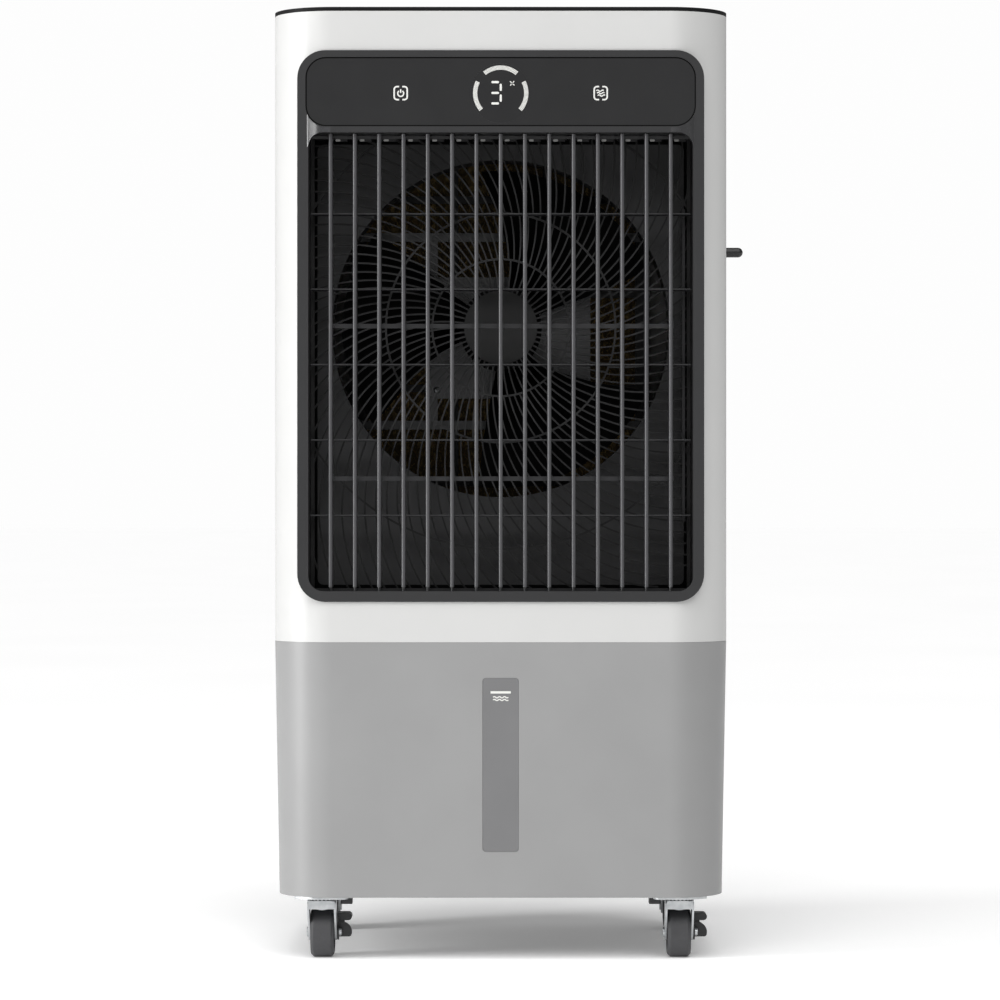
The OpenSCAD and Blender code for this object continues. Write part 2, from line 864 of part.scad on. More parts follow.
module caster_mount(i) {
    lug_x = caster_pos[i][0] > 0 ? -25 : 25;  // the stop lug faces the body's middle
    color("#a8abad")
        union() {
            intersection() {
                translate([caster_pos[i][0], caster_pos[i][1], tank_z - plate_h])
                    linear_extrude(plate_h)
                        round_rect(mount_w, mount_w, 8);
                body_prism(-tank_draft - 1, 0, split_z);
            }
            translate([caster_pos[i][0], caster_pos[i][1], 0]) {
                translate([0, 0, race_z])
                    cylinder(r = 14.2, h = tank_z - plate_h - race_z + eps);
                translate([0, 0, cup_z - 3.2])
                    cylinder(r = pin_r, h = tank_z - cup_z);
                translate([0, 0, cup_z - 2.6])
                    cylinder(r = 6.5, h = 2);
                translate([lug_x - 5.5, -8, lug_z])
                    cube([11, 16, tank_z - plate_h - lug_z + eps]);
            }
        }
}

module caster_fork(i) {
    axle_stub = i < 2 ? axle_end : fork_in + leg_t + 1.5;
    color("#b9bcbe")
        translate([caster_pos[i][0], caster_pos[i][1], 0])
            union() {
                difference() {
                    union() {
                        translate([0, 0, crown_z])
                            linear_extrude(crown_t)
                                round_rect(2 * (fork_in + leg_t), 2 * (fork_in + leg_t), 7);
                        translate([0, 0, cup_z])
                            cylinder(r1 = 11, r2 = 12, h = crown_z - cup_z + eps);
                    }
                    translate([0, 0, cup_z - 1])
                        cylinder(r = pin_r + run, h = crown_z + crown_t - cup_z + 2);
                }
                for (s = [-1, 1])
                    along_x(s > 0 ? fork_in : -fork_in - leg_t, s > 0 ? fork_in + leg_t : -fork_in)
                        polygon([[-9, crown_z + crown_t - 1], [9, crown_z + crown_t - 1], [trail + 8, wheel_r + 4],
                                 [trail + 8, wheel_r - 4], [trail + 4, wheel_r - 8], [trail - 4, wheel_r - 8],
                                 [trail - 8, wheel_r - 4], [-12, crown_z - 7], [-12, crown_z]]);
                translate([0, trail, wheel_r]) {
                    rod_x(-fork_in - leg_t - 1.5, axle_stub, axle_r);
                    rod_x(-fork_in - leg_t - 1.5, -fork_in - leg_t + eps, 5);
                    rod_x(axle_stub - (i < 2 ? 1.9 : 1.5), axle_stub, i < 2 ? 3.8 : 5);
                }
            }
}

module caster_wheel(i) {
    w = wheel_w / 2;
    shoulder = 3;
    color("#4a4a4c")
        translate([caster_pos[i][0], caster_pos[i][1] + trail, wheel_r])
            rotate([0, 90, 0])
                rotate_extrude()
                    polygon([[axle_r + run, -w], [8, -w], [9, -w + 2.5], [wheel_r - 7, -w + 2.5], [wheel_r - 6, -w],
                             [wheel_r - shoulder, -w], [wheel_r, -w + shoulder], [wheel_r, w - shoulder],
                             [wheel_r - shoulder, w], [wheel_r - 6, w], [wheel_r - 7, w - 2.5], [9, w - 2.5],
                             [8, w], [axle_r + run, w]]);
}

// Brake lever: a plate on the axle, a rounded foot behind the axle's end and a pedal above it.
module caster_brake(i) {
    lobe = pedal_x - lever_x;
    pedal_r = 3.7;
    color("#232325")
        translate([caster_pos[i][0], caster_pos[i][1] + trail, wheel_r])
            difference() {
                union() {
                    rod_x(lever_x, lever_x + lever_t, 8);
                    box([lever_x, 2, -4], [lever_x + lever_t, 14, 14]);
                    along_y(5.5, 12)
                        polygon(concat([[lever_x, -5.5], [pedal_x - 2.5, -5.5], [pedal_x - 1, -4.8], [pedal_x - 0.2, -3]],
                                       [for (a = [0:10:90]) [lever_x + lobe * cos(a), -0.5 + 10.9 * sin(a)]]));
                    box([lever_x, 8, 9], [lever_x + 7, 12, 13]);
                    translate([0, 0, 11 + pedal_r])
                        along_y(5.5, 25) {
                            translate([lever_x, -pedal_r])
                                square([lobe - pedal_r, 2 * pedal_r]);
                            translate([pedal_x - pedal_r, 0])
                                circle(pedal_r);
                        }
                }
                rod_x(lever_x - 1, axle_end + 1, axle_r + run);
            }
}

// ---------- Output ----------

tank();
housing();
top_cover();
top_lid();
front_bezel();
control_panel();
display_lens();
fan_guard();
shroud();
fan();
fan_motor();
motor_bracket();
rear_grille();
cooling_pad();
pad_frame();
water_tray();
water_pump();
water_hose();
level_window();
drain_plug();
cord_gland();
side_hook();
swing_motor();
for (i = [1:vane_n]) vane(i);
vane_link(link_zs[0]);  // vane_link_low
vane_link(link_zs[1]);  // vane_link_high
for (i = [1:louvre_n]) louvre(i);
louvre_link();
for (i = [0:3]) caster_mount(i);
for (i = [0:3]) caster_fork(i);
for (i = [0:3]) caster_wheel(i);
for (i = [0:1]) caster_brake(i);
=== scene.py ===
"""Tower evaporative cooler on casters: finishes and fine parts over the CAD frame.

Lengths below are in millimetres unless a name says otherwise. Front is -Y, up is +Z.
"""

import math

import bmesh
import bpy
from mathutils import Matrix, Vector


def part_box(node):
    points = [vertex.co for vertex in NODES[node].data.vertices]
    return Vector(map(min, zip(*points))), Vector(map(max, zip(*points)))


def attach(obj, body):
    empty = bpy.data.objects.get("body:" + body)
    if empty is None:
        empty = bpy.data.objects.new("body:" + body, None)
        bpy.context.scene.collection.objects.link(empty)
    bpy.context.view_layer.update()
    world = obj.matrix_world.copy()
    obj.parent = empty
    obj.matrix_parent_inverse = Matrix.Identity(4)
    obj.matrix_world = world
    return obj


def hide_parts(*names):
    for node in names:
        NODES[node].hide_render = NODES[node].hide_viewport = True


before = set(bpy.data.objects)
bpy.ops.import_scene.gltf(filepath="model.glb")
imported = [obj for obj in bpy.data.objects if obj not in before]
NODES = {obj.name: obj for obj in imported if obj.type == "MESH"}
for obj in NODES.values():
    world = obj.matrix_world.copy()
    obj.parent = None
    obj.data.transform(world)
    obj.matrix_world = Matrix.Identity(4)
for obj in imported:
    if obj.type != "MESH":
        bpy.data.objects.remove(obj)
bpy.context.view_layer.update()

MM = 0.001
SCENE = bpy.context.scene


def box_mm(node):
    """Lowest and highest corner of a CAD node at rest, in millimetres."""
    low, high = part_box(node)
    return low / MM, high / MM


# ---------------------------------------------------------------- materials

def linear(hex_code):
    """sRGB hex to a linear RGBA tuple."""
    out = []
    for i in (1, 3, 5):
        c = int(hex_code[i:i + 2], 16) / 255
        out.append(c / 12.92 if c <= 0.04045 else ((c + 0.055) / 1.055) ** 2.4)
    return (*out, 1.0)


def per(size):
    """Texture scale for features of this size in millimetres."""
    return 1 / (size * MM)


def add_node(tree, kind, settings=None, links=None):
    """Adds a node; settings name sockets (by name or index) or properties, links name input sockets."""
    node = tree.nodes.new(kind)
    for key, value in (settings or {}).items():
        if isinstance(key, str) and hasattr(node, key):
            setattr(node, key, value)
    for key, value in (settings or {}).items():
        if not (isinstance(key, str) and hasattr(node, key)):
            node.inputs[key].default_value = value
    for key, source in (links or {}).items():
        tree.links.new(source, node.inputs[key])
    return node


def begin(name):
    """A new material with an output, a Principled shader and object coordinates in metres."""
    material = bpy.data.materials.new(name)
    material.use_nodes = True
    tree = material.node_tree
    tree.nodes.clear()
    shader = add_node(tree, "ShaderNodeBsdfPrincipled")
    add_node(tree, "ShaderNodeOutputMaterial", links={"Surface": shader.outputs[0]})
    place = add_node(tree, "ShaderNodeTexCoord").outputs["Object"]
    return material, tree, shader, place


def blend_colours(tree, factor, first, second, low=0.35, high=0.65):
    """Colour that runs from first to second as factor goes from low to high."""
    ramp = add_node(tree, "ShaderNodeValToRGB", links={0: factor})
    for element, place, colour in zip(ramp.color_ramp.elements, (low, high), (first, second)):
        element.position, element.color = place, linear(colour)
    return ramp.outputs[0]


def noise(tree, place, size, detail, roughness=0.5):
    """Noise from 0 to 1 with features of about size millimetres."""
    node = add_node(tree, "ShaderNodeTexNoise", {"Scale": per(size), "Detail": detail, "Roughness": roughness},
                    {"Vector": place})
    return node.outputs[0]


def add_bump(tree, shader, height, strength, depth):
    """Relief of depth millimetres on a shader's normal."""
    bump = add_node(tree, "ShaderNodeBump", {"Strength": strength, "Distance": depth * MM}, {"Height": height})
    tree.links.new(bump.outputs[0], shader.inputs["Normal"])


def add_gloss(tree, shader, factor, low, high):
    """Roughness that runs from low to high with factor."""
    spread = add_node(tree, "ShaderNodeMapRange", {3: low, 4: high}, {0: factor})
    tree.links.new(spread.outputs[0], shader.inputs["Roughness"])


def set_inputs(shader, values):
    """Plain values for a shader's inputs."""
    for key, value in values.items():
        shader.inputs[key].default_value = value


FLOW = 90                                    # size of the slow flow marks in moulded plastic


def moulded_plastic(name, colour, flow_colour, rough, grain, depth, sheen=0.5, ior=1.5):
    """Injection-moulded plastic: slow flow marks in the colour, spark-eroded grain and uneven gloss."""
    material, tree, shader, place = begin(name)
    marks = noise(tree, place, FLOW, 3.0)
    tree.links.new(blend_colours(tree, marks, colour, flow_colour), shader.inputs["Base Color"])
    add_bump(tree, shader, noise(tree, place, grain, 4.0, 0.6), 0.6, depth)
    add_gloss(tree, shader, noise(tree, place, FLOW / 3, 2.0), rough * 0.9, rough * 1.12)
    set_inputs(shader, {"IOR": ior, "Specular IOR Level": sheen})
    return material


def rolled_metal(name, colour, stain_colour, rough, streak, depth, stretch):
    """Plated or drawn metal: long streaks along one way and faint cloudy stains."""
    material, tree, shader, place = begin(name)
    drawn = add_node(tree, "ShaderNodeMapping", {"Scale": stretch}, {"Vector": place})
    streaks = noise(tree, drawn.outputs[0], streak, 3.0)
    clouds = noise(tree, place, 9, 4.0)
    tree.links.new(blend_colours(tree, clouds, colour, stain_colour), shader.inputs["Base Color"])
    add_gloss(tree, shader, streaks, rough * 0.75, rough * 1.3)
    add_bump(tree, shader, streaks, 0.4, depth)
    set_inputs(shader, {"Metallic": 1.0})
    return material


# White ABS, polished tool: a soft highlight runs down the round corners.
shell_abs = moulded_plastic("abs_white_satin", "#BFBFBE", "#BDBDBC", 0.42, 0.9, 0.010)
# Grey polypropylene, slightly waxy: the same highlight, broader and weaker.
tank_pp = moulded_plastic("polypropylene_grey", "#8B8B8B", "#888888", 0.40, 1.1, 0.012)
# Dark ABS with a fine spark-eroded grain: even, low gloss.
bezel_abs = moulded_plastic("abs_graphite_grained", "#282829", "#262627", 0.48, 0.7, 0.020, sheen=0.34)
# Panel skin: hard-coated polycarbonate over a dark backing, smoother than the bezel.
panel_skin = moulded_plastic("polycarbonate_panel_skin", "#1C1C1D", "#1B1B1C", 0.38, 0.6, 0.004, sheen=0.36)
# Display lens: tinted PMMA, smooth and a little glossier than the skin.
lens_pmma = moulded_plastic("pmma_tinted_lens", "#1C1C1D", "#1B1B1C", 0.37, 0.5, 0.003, sheen=0.36, ior=1.49)
# Cover and lid: dark ABS with a coarser grain.
cover_abs = moulded_plastic("abs_black_grained", "#0F0F10", "#0D0D0E", 0.55, 1.2, 0.035, sheen=0.14)
# Vanes: mid-grey ABS, satin, so that each round front edge takes a thin highlight.
vane_abs = moulded_plastic("abs_mid_grey_satin", "#434345", "#404042", 0.3, 0.7, 0.008)
# Link bars and louvres: a darker, duller ABS.
link_abs = moulded_plastic("abs_dark_links", "#2E2E30", "#2B2B2D", 0.45, 0.7, 0.010)
# Guard and shroud: black polypropylene with talc, matt.
guard_pp = moulded_plastic("polypropylene_black_talc", "#2E2E2F", "#2A2A2B", 0.52, 0.8, 0.015)
shroud_pp = moulded_plastic("polypropylene_black_shroud", "#454546", "#404041", 0.58, 1.0, 0.02)
# Fan: glass-filled nylon, dull, with a fine grain.
fan_nylon = moulded_plastic("nylon_glass_filled_black", "#0F0F10", "#0C0C0D", 0.55, 0.6, 0.012, sheen=0.06)
# Small black fittings.
black_abs = moulded_plastic("abs_black_fittings", "#1E1E1F", "#1A1A1B", 0.42, 0.8, 0.012)
# Tray: natural polypropylene, milky.
tray_pp = moulded_plastic("polypropylene_natural", "#C9CCCC", "#C3C7C7", 0.4, 1.0, 0.01)
tray_pp.node_tree.nodes["Principled BSDF"].inputs["Subsurface Weight"].default_value = 0.15
# Near-black and matt, with no gloss: the panel's shut line, and painted shade in the shroud's corner, in the ball
# races and in the screws' cross recesses.
black_joint_and_shade = moulded_plastic("black_joint_and_painted_shade", "#0B0B0B", "#090909", 0.95, 1.2, 0.15, sheen=0.1)
# Pale screen-printed ink for the marks.
ink_white = moulded_plastic("screen_ink_pale", "#D6D6D2", "#D0D0CC", 0.55, 0.4, 0.004)
# Zinc-plated sheet: silvery, cloudy, with rolling streaks across the width.
zinc_sheet = rolled_metal("steel_zinc_plated", "#C9CBCC", "#B4B7B9", 0.34, 0.8, 0.006, (1, 9, 9))
# Nickel plate on screws, axle nuts and rivet heads.
screw_steel = rolled_metal("steel_nickel_screw", "#A9ABAC", "#95989A", 0.3, 0.5, 0.004, (1, 1, 1))
# Motor can: drawn steel under black stove enamel, half gloss.
motor_enamel = moulded_plastic("enamel_black_motor_can", "#2C2C2D", "#262627", 0.38, 1.4, 0.02)
# Motor bracket: pressed steel under mid-grey powder coat, with its slight orange peel.
bracket_coat = moulded_plastic("powder_coat_grey_bracket", "#5A5A5B", "#525253", 0.46, 1.8, 0.03)
# Motor plate: the same coat a shade lighter.
plate_coat = moulded_plastic("powder_coat_light_plate", "#6A6A6B", "#5C5C5D", 0.42, 1.8, 0.03)
# Polished ABS for the trim facets.
facet_abs = moulded_plastic("abs_graphite_polished", "#3A3A3B", "#38383A", 0.2, 0.6, 0.002, sheen=0.8)
# Pale nubs: painted highlight for the glint on the lower edge of each bushing lug.
highlight_nub_pale = moulded_plastic("pale_nub_painted_highlight", "#C4C4C2", "#BCBCBA", 0.4, 0.6, 0.006)


def shade_outward(material, near, far, start, stop):
    """Multiplies a finish's colour by a grey that goes from near to far as the fan's axis gets farther away.

    start and stop are the distances in millimetres where the change begins and ends.
    """
    tree = material.node_tree
    colour_input = tree.nodes["Principled BSDF"].inputs["Base Color"]
    low, high = box_mm("fan_motor")
    axis_z = (low.z + high.z) / 2
    shift = add_node(tree, "ShaderNodeMapping", {"Location": (0, 0, -axis_z * MM), "Scale": (1, 0, 1)},
                     {"Vector": tree.nodes["Texture Coordinate"].outputs["Object"]})
    reach = add_node(tree, "ShaderNodeVectorMath", {"operation": "LENGTH"}, {0: shift.outputs[0]})
    along = add_node(tree, "ShaderNodeMapRange", {1: start * MM, 2: stop * MM}, {0: reach.outputs["Value"]})
    shade = add_node(tree, "ShaderNodeMix", {"data_type": "RGBA", 6: linear(near), 7: linear(far)},
                     {0: along.outputs[0]})
    tinted = add_node(tree, "ShaderNodeMix", {"data_type": "RGBA", "blend_type": "MULTIPLY", 0: 1.0},
                      {6: colour_input.links[0].from_socket, 7: shade.outputs[2]})
    tree.links.new(tinted.outputs[2], colour_input)


# These greys by place stand in for contact shadow that the soft light leaves out; they are no stain or wear.
# The guard is darker beyond the ring of its opening and on its middle disc.
shade_outward(guard_pp, "#FFFFFF", "#303030", 160, 166)
shade_outward(guard_pp, "#A0A0A0", "#FFFFFF", 37.2, 38)
# The fan's blades are darker than its hub.
shade_outward(fan_nylon, "#FFFFFF", "#4A4A4A", 41, 44)


def level_window_resin():
    """Smoked SAN window over the sight slot: even grey with a soft reflection, faintly clouded by scale."""
    material, tree, shader, place = begin("san_smoked_window")
    cloud = noise(tree, place, 55, 2.0)
    tree.links.new(blend_colours(tree, cloud, "#6A6A6B", "#676768"), shader.inputs["Base Color"])
    add_bump(tree, shader, noise(tree, place, 14, 1.0), 0.3, 0.03)
    set_inputs(shader, {"Roughness": 0.24, "Coat Weight": 0.3, "Coat Roughness": 0.08})
    return material


def pad_paper():
    """Cellulose pad: resin-soaked kraft sheets, yellow-brown, streaked up and down where water runs."""
    material, tree, shader, place = begin("cellulose_corrugated")
    runs = add_node(tree, "ShaderNodeMapping", {"Scale": (1, 1, 0.12)}, {"Vector": place})
    stains = noise(tree, runs.outputs[0], 22, 4.0)
    fibres = noise(tree, place, 0.7, 5.0, 0.7)
    speck = add_node(tree, "ShaderNodeMix", {"data_type": "RGBA", "blend_type": "OVERLAY", 0: 0.35},
                     {6: blend_colours(tree, stains, "#B39A68", "#8C7849"),
                      7: blend_colours(tree, fibres, "#7D6B4B", "#D9CBA2")})
    tree.links.new(speck.outputs[2], shader.inputs["Base Color"])
    add_bump(tree, shader, fibres, 0.7, 0.12)
    # The trace of glow stands in for daylight that thin wet sheets let through from the grille behind.
    set_inputs(shader, {"Roughness": 0.85, "Specular IOR Level": 0.25,
                        "Emission Color": linear("#A39C86"), "Emission Strength": 0.004})
    return material


def wheel_rubber():
    """Thermoplastic rubber on the tread: dull dark grey, with uneven floor dust."""
    material, tree, shader, place = begin("rubber_thermoplastic_grey")
    dust = noise(tree, place, 3.5, 5.0, 0.65)
    tree.links.new(blend_colours(tree, dust, "#353537", "#3E3E40", 0.3, 0.8), shader.inputs["Base Color"])
    add_gloss(tree, shader, dust, 0.48, 0.68)
    add_bump(tree, shader, noise(tree, place, 0.6, 3.0), 0.5, 0.04)
    return material


def hose_pvc():
    """Clear PVC hose: pale, soft, lets some light through its wall."""
    material, tree, shader, place = begin("pvc_clear_hose")
    film = noise(tree, place, 18, 2.0)
    tree.links.new(blend_colours(tree, film, "#D3D8D6", "#C3CAC8"), shader.inputs["Base Color"])
    set_inputs(shader, {"Roughness": 0.25, "Transmission Weight": 0.35})
    return material


window_san, pad_cellulose = level_window_resin(), pad_paper()
tread_rubber, clear_pvc = wheel_rubber(), hose_pvc()

FINISH = {
    "tank": tank_pp, "housing": shell_abs, "rear_grille": shell_abs, "front_bezel": bezel_abs,
    "control_panel": panel_skin, "display_lens": lens_pmma, "top_cover": cover_abs, "top_lid": cover_abs,
    "fan_guard": guard_pp, "shroud": shroud_pp, "fan": fan_nylon, "fan_motor": motor_enamel,
    "swing_motor": motor_enamel, "motor_bracket": bracket_coat, "cooling_pad": pad_cellulose,
    "pad_frame": black_abs, "water_tray": tray_pp, "water_pump": black_abs, "water_hose": clear_pvc,
    "level_window": window_san, "drain_plug": black_abs, "cord_gland": black_abs, "side_hook": black_abs,
    "vane_link": link_abs, "vane": vane_abs, "louvre_link": link_abs, "louvre": link_abs,
    "mount": zinc_sheet, "fork": zinc_sheet, "wheel": tread_rubber, "brake": black_abs,
}


def family(node, table):
    """The key of a table that a CAD node comes under: its own name, or that of its family."""
    if node in table:
        return node
    return "vane_link" if node.startswith("vane_link") else node.split("_")[0]


# ---------------------------------------------------------------- edges

SHARP = 32                                   # degrees between two faces, from which their edge is sharp
BEVELLED = 35                                # degrees from which an edge is also broken


def crisp_edges():
    """Node group that keeps faces smooth and marks edges over SHARP degrees as sharp."""
    group = bpy.data.node_groups.new("crisp_edges", "GeometryNodeTree")
    group.interface.new_socket("Geometry", in_out="INPUT", socket_type="NodeSocketGeometry")
    group.interface.new_socket("Geometry", in_out="OUTPUT", socket_type="NodeSocketGeometry")
    inlet = add_node(group, "NodeGroupInput")
    smooth = add_node(group, "GeometryNodeSetShadeSmooth", {"domain": "FACE"}, {"Geometry": inlet.outputs[0]})
    angle = add_node(group, "GeometryNodeInputMeshEdgeAngle")
    flat = add_node(group, "FunctionNodeCompare", {"operation": "LESS_THAN", 1: math.radians(SHARP)},
                    {0: angle.outputs[0]})
    edges = add_node(group, "GeometryNodeSetShadeSmooth", {"domain": "EDGE"},
                     {"Geometry": smooth.outputs[0], "Shade Smooth": flat.outputs[0]})
    add_node(group, "NodeGroupOutput", links={0: edges.outputs[0]})
    return group


CRISP = crisp_edges()


def round_edges(obj, width, weld=False, merge_flats=True):
    """Breaks an object's sharp edges by width millimetres, as a real tool or press does.

    A CAD mesh is welded first and, unless it is pierced by many holes, its flat faces are merged.
    """
    if weld:
        obj.modifiers.new("weld", "WELD").merge_threshold = 0.002 * MM
    if weld and merge_flats:
        flat = obj.modifiers.new("flat", "DECIMATE")
        flat.decimate_type, flat.angle_limit = "DISSOLVE", math.radians(0.2)
    if width:
        bevel = obj.modifiers.new("edge", "BEVEL")
        bevel.width, bevel.segments = width * MM, 2
        bevel.limit_method, bevel.angle_limit = "ANGLE", math.radians(BEVELLED)
        bevel.miter_outer = "MITER_ARC"
    obj.modifiers.new("crisp", "NODES").node_group = CRISP
    even = obj.modifiers.new("even", "WEIGHTED_NORMAL")
    even.keep_sharp, even.weight = True, 60


EDGE_WIDTH = {
    "tank": 1.2, "housing": 0.5, "front_bezel": 0.6, "control_panel": 0.3, "display_lens": 0.2, "top_cover": 0.8,
    "top_lid": 0.6, "fan_guard": 0, "shroud": 0.5, "fan": 0, "fan_motor": 1.5, "motor_bracket": 0.4,
    "rear_grille": 0, "cooling_pad": 0, "pad_frame": 0, "water_tray": 0.5, "water_pump": 1.2, "water_hose": 0,
    "level_window": 0.4, "drain_plug": 0.8, "cord_gland": 0.6, "side_hook": 0, "swing_motor": 1.2, "vane": 0,
    "vane_link": 0.25, "louvre": 0, "louvre_link": 0.2, "mount": 0.3, "fork": 0.35, "wheel": 0.5, "brake": 0.8,
}

# Sheets with many holes keep their own faces, because one face can't hold so many openings.
PIERCED = {"rear_grille", "pad_frame", "fan_guard"}

for name, obj in NODES.items():
    mesh = obj.data
    if "custom_normal" in mesh.attributes:
        mesh.attributes.remove(mesh.attributes["custom_normal"])
    mesh.materials.clear()
    mesh.materials.append(FINISH[family(name, FINISH)])
    round_edges(obj, EDGE_WIDTH[family(name, EDGE_WIDTH)], weld=True, merge_flats=name not in PIERCED)


# ---------------------------------------------------------------- shapes

def piece(name, mesh_parts, materials, body="cabinet", edge=0.0):
    """One object from parts [(points, faces, material index)], points in millimetres, riding on a body."""
    points, faces, index = [], [], []
    for part_points, part_faces, k in mesh_parts:
        base = len(points)
        points += [Vector(p) * MM for p in part_points]
        faces += [[base + i for i in f] for f in part_faces]
        index += [k] * len(part_faces)
    mesh = bpy.data.meshes.new(name)
    mesh.from_pydata(points, [], faces)
    mesh.polygons.foreach_set("material_index", index)
    tidy = bmesh.new()
    tidy.from_mesh(mesh)
    bmesh.ops.recalc_face_normals(tidy, faces=tidy.faces)
    tidy.to_mesh(mesh)
    tidy.free()
    for m in materials:
        mesh.materials.append(m)
    obj = bpy.data.objects.new(name, mesh)
    SCENE.collection.objects.link(obj)
    round_edges(obj, edge)
    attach(obj, body)
    return obj


def prism(outline, low, high, turn, k=0):
    """Closed prism over a 2-D outline from low to high; turn(u, v, w) puts a point in space."""
    n = len(outline)
    points = [turn(u, v, w) for w in (low, high) for u, v in outline]
    faces = [list(range(n))[::-1], list(range(n, 2 * n))]
    faces += [[i, (i + 1) % n, n + (i + 1) % n, n + i] for i in range(n)]
    return points, faces, k


def frame_prism(outer, inner, low, high, turn):
    """Ring between two outlines with equal point counts."""
    n = len(outer)
    points = [turn(u, v, w) for w in (low, high) for line in (outer, inner) for u, v in line]
    faces = []
    for i in range(n):
        j = (i + 1) % n
        faces += [[i, j, n + j, n + i], [2 * n + i, 3 * n + i, 3 * n + j, 2 * n + j],
                  [i, 2 * n + i, 2 * n + j, j], [n + i, n + j, 3 * n + j, 3 * n + i]]
    return points, faces, 0


def lathe(profile, turn, steps):
    """Solid of revolution: profile of (radius, height) pairs, closed on the axis at both ends."""
    points = [turn(0, 0, profile[0][1]), turn(0, 0, profile[-1][1])]
    for r, h in profile:
        points += [turn(r * math.cos(2 * math.pi * s / steps), r * math.sin(2 * math.pi * s / steps), h)
                   for s in range(steps)]
    faces = []
    for s in range(steps):
        t = (s + 1) % steps
        faces.append([0, 2 + t, 2 + s])
        last = 2 + (len(profile) - 1) * steps
        faces.append([1, last + s, last + t])
        for row in range(len(profile) - 1):
            a = 2 + row * steps
            faces.append([a + s, a + t, a + steps + t, a + steps + s])
    return points, faces, 0


def round_outline(w, h, r, steps, cx=0.0, cy=0.0):
    """Rectangle with round corners as a list of points."""
    out = []
    for x, y, a0 in ((1, 1, 0), (-1, 1, 90), (-1, -1, 180), (1, -1, 270)):
        for s in range(steps + 1):
            a = math.radians(a0 + 90 * s / steps)
            out.append((cx + x * (w / 2 - r) + r * math.cos(a), cy + y * (h / 2 - r) + r * math.sin(a)))
    return out


def ring_sector(cx, cy, r_in, r_out, a0, a1, steps):
    """Outline of a piece of a ring between two angles in degrees."""
    arc = [math.radians(a0 + (a1 - a0) * s / steps) for s in range(steps + 1)]
    return ([(cx + r_out * math.cos(a), cy + r_out * math.sin(a)) for a in arc]
            + [(cx + r_in * math.cos(a), cy + r_in * math.sin(a)) for a in arc[::-1]])


def stroke(line, width):
    """Outline of a stroke of even width along an open line."""
    left, right = [], []
    for i, p in enumerate(line):
        a, b = line[max(i - 1, 0)], line[min(i + 1, len(line) - 1)]
        d = math.hypot(b[0] - a[0], b[1] - a[1]) or 1
        nx, ny = -(b[1] - a[1]) / d * width / 2, (b[0] - a[0]) / d * width / 2
        left.append((p[0] + nx, p[1] + ny))
        right.append((p[0] - nx, p[1] - ny))
    return left + right[::-1]


def arc_line(cx, cy, r, a0, a1, steps):
    """Points on an arc between two angles in degrees."""
    return [(cx + r * math.cos(math.radians(a0 + (a1 - a0) * s / steps)),
             cy + r * math.sin(math.radians(a0 + (a1 - a0) * s / steps))) for s in range(steps + 1)]


def wave(x0, z0, length, steps, period, rise=0.7):
    """Wavy line from (x0, z0) to the right; period is counted in steps."""
    return [(x0 + length * s / steps, z0 + rise * math.sin(2 * math.pi * s / period)) for s in range(steps + 1)]


def on_front(u, v, w):
    """Outline drawn in X and Z; depth along +Y."""
    return (u, w, v)


def on_plan(u, v, w):
    """Outline drawn in X and Y; height along +Z."""
    return (u, v, w)


def on_side(u, v, w):
    """Outline drawn in Y and Z; depth along +X."""
    return (w, u, v)


# ---------------------------------------------------------------- display

lens_low, lens_high = box_mm("display_lens")
panel_low, panel_high = box_mm("control_panel")
lens_x, lens_z = 0.0, (lens_low.z + lens_high.z) / 2
FACE_Y = lens_low.y
INK = 0.08                                   # thickness of a printed mark


def print_marks(name, outlines):
    """Thin ink marks lying on the panel's face."""
    parts = [prism(o, FACE_Y - INK, FACE_Y + 0.02, on_front) for o in outlines]
    piece(name, parts, [ink_white])


# Scale of fine bars round the display: one run across the top and one down each side.
TICK_IN, TICK_OUT, TICK_PITCH, TICK_HALF = 23.4, 27.7, 2.7, 1.0    # two radii, then degrees
ticks = []
for start, stop in ((50.5, 129.5), (153.3, 220.5), (-40.5, 26.7)):
    count = round((stop - start) / TICK_PITCH)
    for s in range(count):
        a = start + (s + 0.5) * (stop - start) / count
        ticks.append(ring_sector(lens_x, lens_z, TICK_IN, TICK_OUT, a - TICK_HALF, a + TICK_HALF, 2))
print_marks("display_ticks", ticks)


def rounded_bar(x0, z0, x1, z1):
    """Outline of a display segment with round ends."""
    w, h = x1 - x0, z1 - z0
    return round_outline(w, h, min(w, h) * 0.42, 4, (x0 + x1) / 2, (z0 + z1) / 2)


# Seven-segment three, measured from the lens's middle: three level bars and two uprights on the right.
BAR_X, BAR_TOPS, BAR_H = (-9.3, -1.7), (12.1, 1.3, -9.2), 2.2
UPRIGHT_X, UPRIGHT_LOWS, UPRIGHT_H = (-1.0, 1.1), (2.2, -8.6), 7.2
bars = [(BAR_X[0], top - BAR_H, BAR_X[1], top) for top in BAR_TOPS]
uprights = [(UPRIGHT_X[0], low, UPRIGHT_X[1], low + UPRIGHT_H) for low in UPRIGHT_LOWS]
print_marks("display_digit", [rounded_bar(lens_x + x0, lens_z + z0, lens_x + x1, lens_z + z1)
                              for x0, z0, x1, z1 in bars + uprights])

# Small fan mark with four petals, up and to the right of the digit.
FAN_MARK_X, FAN_MARK_Z = lens_x + 11.5, lens_z + 9.8
PETAL = [(0.3, -0.2), (1.2, 0.35), (2.2, 0.7), (3.0, 0.5), (3.1, -0.1), (2.2, -0.4), (1.1, -0.5)]
petals = []
for s in range(4):
    a = math.radians(90 * s + 45)
    petals.append([(FAN_MARK_X + p * math.cos(a) - q * math.sin(a), FAN_MARK_Z + p * math.sin(a) + q * math.cos(a))
                   for p, q in PETAL])
print_marks("display_fan_mark", petals)


